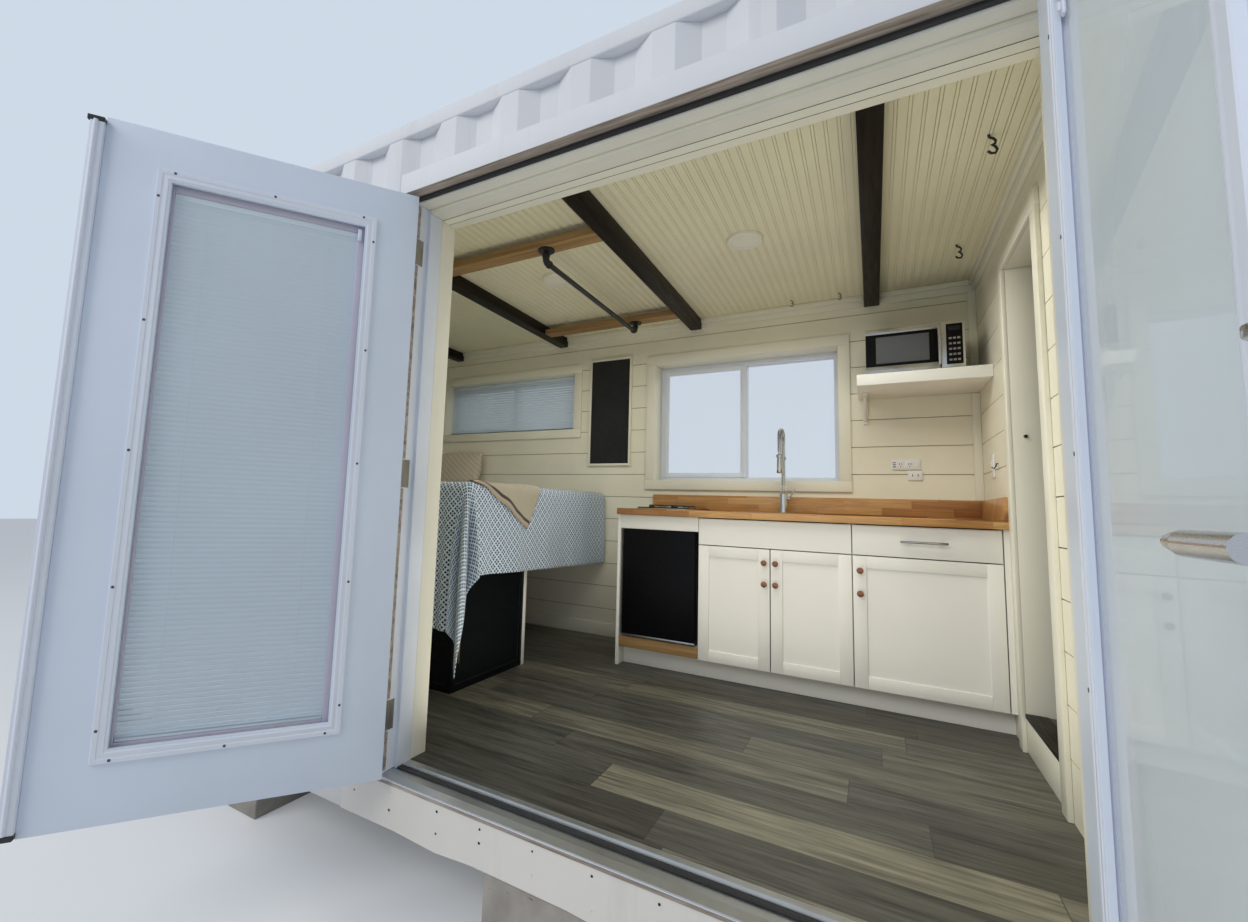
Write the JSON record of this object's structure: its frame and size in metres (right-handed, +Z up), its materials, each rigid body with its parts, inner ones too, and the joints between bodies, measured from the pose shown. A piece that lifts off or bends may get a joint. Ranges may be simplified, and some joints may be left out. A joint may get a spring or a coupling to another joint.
{
  "type": "shipping container cabin",
  "caption": "Steel shipping container made into a cabin, with glazed outward doors, lined walls, beamed ceiling, fitted kitchen and a raised bed.",
  "frame": {"origin": "middle of the container's footprint, on the ground under its blocks", "axes": "+X to the right along the entrance side, +Y from the entrance into the cabin, +Z up"},
  "size_m": [6.058, 3.3675, 2.781],
  "materials": {
    "concrete": "rough cast",
    "white_steel": "painted",
    "frame_steel": "painted",
    "joist_steel": "dull paint",
    "deck": "plank finish",
    "shiplap": "painted boards",
    "beadboard": "painted boards",
    "white_trim": "satin paint",
    "cream_frame": "worn paint",
    "sill_metal": "mill finish",
    "weathered_wood": "weathered",
    "leaf_white": "smooth",
    "clear_glass": "clear",
    "blind_white": "satin",
    "hinge_grey": "satin",
    "nickel": "satin",
    "espresso_wood": "stained",
    "raw_wood": "bare",
    "black_iron": "bare",
    "lamp_white": "frosted",
    "cabinet_white": "satin paint",
    "butcher_block": "oiled",
    "stainless": "satin",
    "chrome": "polished",
    "black_glass": "gloss",
    "black_shell": "satin",
    "chest_black": "satin paint",
    "mattress": "ticking",
    "cover_print": "printed cotton",
    "throw_beige": "woven",
    "pillow_tan": "woven"
  },
  "bodies": {
    "shell": {"foundation_blocks": "concrete", "corner_posts": "frame_steel", "bottom_rails": "frame_steel", "top_rails": "white_steel", "cross_members": "joist_steel", "front_skin": "white_steel", "back_skin": "white_steel", "end_skins": "white_steel", "roof": "white_steel", "floor_deck": "deck", "front_lining": "shiplap", "back_lining": "shiplap", "end_linings": "shiplap", "ceiling": "beadboard", "partition": "shiplap", "wet_room_floor": "deck", "interior_trim": "white_trim", "door_frame": "cream_frame", "threshold": "sill_metal", "head_flashing": "white_steel", "head_block": "weathered_wood", "sill_apron": "frame_steel", "window_frames": "leaf_white", "window_glass": "clear_glass", "ceiling_beams": "espresso_wood", "beam_ties": "raw_wood", "pipe_rail": "black_iron", "ceiling_lights": "lamp_white", "base_units": "cabinet_white", "worktop": "butcher_block", "sink": "stainless", "tap": "chrome", "hob": "black_glass", "fridge": "black_shell", "wall_shelf": "cabinet_white", "microwave": "stainless", "wall_board": "black_shell", "bed_chest": "chest_black", "bed_deck": "raw_wood", "mattress": "mattress", "bed_cover": "cover_print", "throw": "throw_beige", "pillow": "pillow_tan"},
    "left_door": {"left_leaf": "leaf_white", "left_glass": "clear_glass", "left_blind": "blind_white", "left_hinges": "hinge_grey", "astragal": "leaf_white"},
    "right_door": {"right_leaf": "leaf_white", "right_glass": "clear_glass", "right_blind": "blind_white", "right_hinges": "hinge_grey", "lock_set": "nickel"},
    "sink_left": {"sink_door_left": "cabinet_white"},
    "sink_right": {"sink_door_right": "cabinet_white"},
    "unit_flap": {"unit_door": "cabinet_white"},
    "drawer_box": {"drawer": "cabinet_white"},
    "fridge_front": {"fridge_door": "black_shell"}
  },
  "joints": [
    {"name": "left_door_swing", "type": "hinge", "parent": "shell", "child": "left_door", "pos_m": [-0.4375, -1.227, 0.5], "axis": [0, 0, 1], "range_deg": [-33.6, 126.4]},
    {"name": "right_door_swing", "type": "hinge", "parent": "shell", "child": "right_door", "pos_m": [1.4055, -1.227, 0.5], "axis": [0, 0, -1], "range_deg": [-4.2, 85.8]},
    {"name": "sink_left_swing", "type": "hinge", "parent": "shell", "child": "sink_left", "pos_m": [0.1755, 0.4192, 0.5], "axis": [0, 0, -1], "range_deg": [0, 90]},
    {"name": "sink_right_swing", "type": "hinge", "parent": "shell", "child": "sink_right", "pos_m": [0.9325, 0.4192, 0.5], "axis": [0, 0, 1], "range_deg": [0, 90]},
    {"name": "unit_door_swing", "type": "hinge", "parent": "shell", "child": "unit_flap", "pos_m": [1.52, 0.4192, 0.5], "axis": [0, 0, 1], "range_deg": [0, 90]},
    {"name": "drawer_slide", "type": "slide", "parent": "shell", "child": "drawer_box", "axis": [0, -1, 0], "range_m": [0, 0.38]},
    {"name": "fridge_door_swing", "type": "hinge", "parent": "shell", "child": "fridge_front", "pos_m": [-0.2845, 0.4192, 0.5], "axis": [0, 0, -1], "range_deg": [0, 90]}
  ]
}
